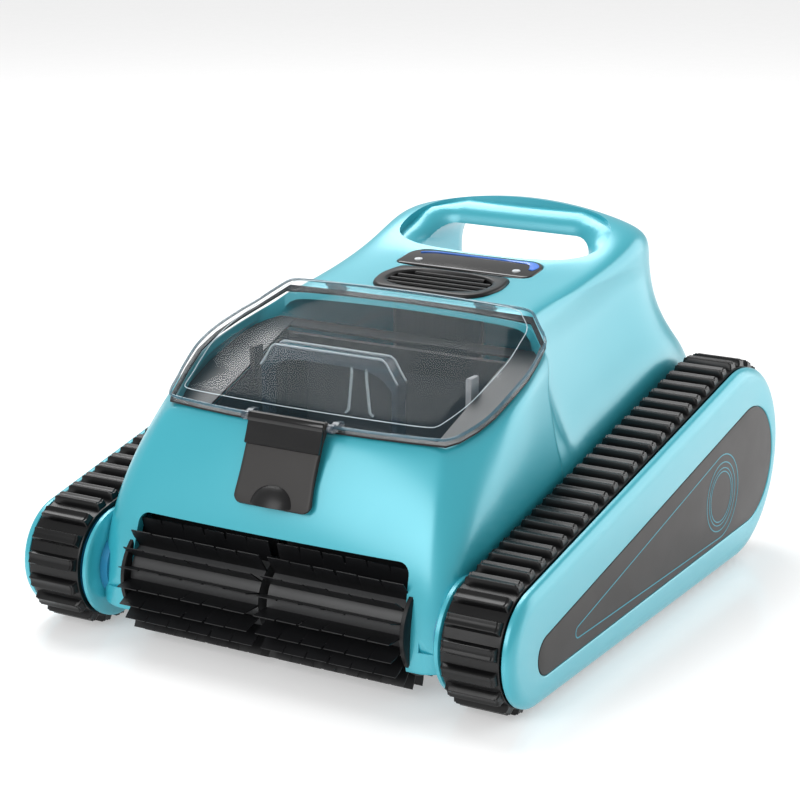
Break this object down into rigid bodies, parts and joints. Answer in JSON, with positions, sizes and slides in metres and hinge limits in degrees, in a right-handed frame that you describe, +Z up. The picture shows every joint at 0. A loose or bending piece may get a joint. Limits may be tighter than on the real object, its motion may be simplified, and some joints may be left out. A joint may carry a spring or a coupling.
{
  "type": "pool cleaner",
  "caption": "Cordless tracked robot for cleaning pool floors and walls, with front roller brush, hinged clear lid over a debris basket, top outlet and rear carrying handle.",
  "frame": {"origin": "on the ground, under the middle of the outline (centre of the bounding box, at its bottom)", "axes": "+Z up, -Y the front with the brush (forward travel), +X the right side seen from behind"},
  "size_m": [0.3602, 0.4232, 0.242],
  "materials": {
    "satin_turquoise": "satin",
    "black_rubber": "matte",
    "brush_rubber": "matte",
    "clear_lid": "clear gloss",
    "clear_plastic": "clear gloss",
    "gloss_black": "gloss",
    "black_plastic": "fine texture",
    "charcoal_plastic": "fine texture",
    "blue_light": "translucent",
    "button_white": "satin",
    "float_foam": "matte",
    "filter_mesh": "woven",
    "battery_wrap": "satin",
    "board_green": "satin",
    "acetal_white": "satin",
    "steel": "machined"
  },
  "bodies": {
    "housing": {"axle_bracket_left": "black_plastic", "axle_bracket_right": "black_plastic", "base_chassis": "black_plastic", "basket_handle": "clear_plastic", "battery_pack": "battery_wrap", "brush_center_bearing": "black_plastic", "charging_socket": "black_plastic", "chassis_screw_1": "steel", "chassis_screw_2": "steel", "chassis_screw_3": "steel", "chassis_screw_4": "steel", "control_board": "board_green", "control_panel": "gloss_black", "drive_motor_left": "steel", "drive_motor_right": "steel", "filter_basket": "charcoal_plastic", "filter_mesh": "filter_mesh", "float_block_left": "float_foam", "float_block_right": "float_foam", "front_axle": "steel", "idler_pin_left": "steel", "idler_pin_right": "steel", "inlet_duct": "black_plastic", "lid_hinge_pin": "steel", "lid_seal": "black_rubber", "outlet_grille": "charcoal_plastic", "pump_duct": "black_plastic", "pump_motor": "steel", "rear_axle_left": "steel", "rear_axle_right": "steel", "side_cover_left": "satin_turquoise", "side_cover_right": "satin_turquoise", "side_inlay_left": "charcoal_plastic", "side_inlay_right": "charcoal_plastic", "status_light": "blue_light", "track_belt_left": "black_rubber", "track_belt_right": "black_rubber", "track_frame_left": "black_plastic", "track_frame_right": "black_plastic", "upper_shell": "satin_turquoise"},
    "lid": {"lid": "clear_lid", "latch_pin": "steel"},
    "latch": {"latch": "charcoal_plastic"},
    "power_button": {"power_button": "button_white"},
    "mode_button": {"mode_button": "button_white"},
    "inlet_flap": {"inlet_flap": "black_rubber"},
    "charging_cap": {"charging_cap": "black_rubber"},
    "impeller": {"propeller": "charcoal_plastic"},
    "rear_drive_left": {"rear_pulley_left": "black_plastic"},
    "front_drive_left": {"front_pulley_left": "black_plastic", "brush_coupler_left": "black_plastic", "brush_left": "brush_rubber"},
    "pinion_left": {"drive_pinion_left": "acetal_white"},
    "idler_left": {"idler_roller_left": "black_plastic"},
    "rear_drive_right": {"rear_pulley_right": "black_plastic"},
    "front_drive_right": {"front_pulley_right": "black_plastic", "brush_coupler_right": "black_plastic", "brush_right": "brush_rubber"},
    "pinion_right": {"drive_pinion_right": "acetal_white"},
    "idler_right": {"idler_roller_right": "black_plastic"}
  },
  "joints": [
    {"name": "lid_hinge", "type": "hinge", "parent": "housing", "child": "lid", "pos_m": [0, -0.00705, 0.1975], "axis": [-1, 0, 0], "range_deg": [0, 70]},
    {"name": "latch_pivot", "type": "hinge", "parent": "lid", "child": "latch", "pos_m": [0, -0.16125, 0.1536], "axis": [-1, 0, 0], "range_deg": [0, 80]},
    {"name": "power_button_press", "type": "slide", "parent": "housing", "child": "power_button", "axis": [0, 0, -1], "range_m": [0, 0.001], "stiffness_N_per_m": 800},
    {"name": "mode_button_press", "type": "slide", "parent": "housing", "child": "mode_button", "axis": [0, 0, -1], "range_m": [0, 0.001], "stiffness_N_per_m": 800},
    {"name": "inlet_flap_hinge", "type": "hinge", "parent": "housing", "child": "inlet_flap", "pos_m": [0, -0.08835, 0.0664], "axis": [-1, 0, 0], "range_deg": [0, 60]},
    {"name": "charging_cap_hinge", "type": "hinge", "parent": "housing", "child": "charging_cap", "pos_m": [0, 0.19565, 0.107], "axis": [1, 0, 0], "range_deg": [0, 110]},
    {"name": "propeller_spin", "type": "hinge", "parent": "housing", "child": "impeller", "pos_m": [0, 0.02695, 0.166], "axis": [0, 0, 1], "continuous": true},
    {"name": "rear_wheel_spin_left", "type": "hinge", "parent": "housing", "child": "rear_drive_left", "pos_m": [-0.152, 0.13865, 0.0731], "axis": [1, 0, 0], "continuous": true},
    {"name": "front_wheel_spin_left", "type": "hinge", "parent": "housing", "child": "front_drive_left", "pos_m": [-0.152, -0.16895, 0.0428], "axis": [1, 0, 0], "continuous": true},
    {"name": "pinion_spin_left", "type": "hinge", "parent": "housing", "child": "pinion_left", "pos_m": [-0.1385, 0.08475, 0.0731], "axis": [1, 0, 0], "continuous": true},
    {"name": "idler_spin_left", "type": "hinge", "parent": "housing", "child": "idler_left", "pos_m": [-0.157, -0.02535, 0.0186], "axis": [1, 0, 0], "continuous": true},
    {"name": "rear_wheel_spin_right", "type": "hinge", "parent": "housing", "child": "rear_drive_right", "pos_m": [0.152, 0.13865, 0.0731], "axis": [1, 0, 0], "continuous": true},
    {"name": "front_wheel_spin_right", "type": "hinge", "parent": "housing", "child": "front_drive_right", "pos_m": [0.152, -0.16895, 0.0428], "axis": [1, 0, 0], "continuous": true},
    {"name": "pinion_spin_right", "type": "hinge", "parent": "housing", "child": "pinion_right", "pos_m": [0.1385, 0.08475, 0.0731], "axis": [1, 0, 0], "continuous": true},
    {"name": "idler_spin_right", "type": "hinge", "parent": "housing", "child": "idler_right", "pos_m": [0.157, -0.02535, 0.0186], "axis": [1, 0, 0], "continuous": true}
  ],
  "couplings": [
    {"joint": "front_wheel_spin_left", "follows": "rear_wheel_spin_left", "ratio": 1.8347},
    {"joint": "pinion_spin_left", "follows": "rear_wheel_spin_left", "ratio": -1.8823},
    {"joint": "idler_spin_left", "follows": "rear_wheel_spin_left", "ratio": 6.66},
    {"joint": "front_wheel_spin_right", "follows": "rear_wheel_spin_right", "ratio": 1.8347},
    {"joint": "pinion_spin_right", "follows": "rear_wheel_spin_right", "ratio": -1.8823},
    {"joint": "idler_spin_right", "follows": "rear_wheel_spin_right", "ratio": 6.66}
  ]
}
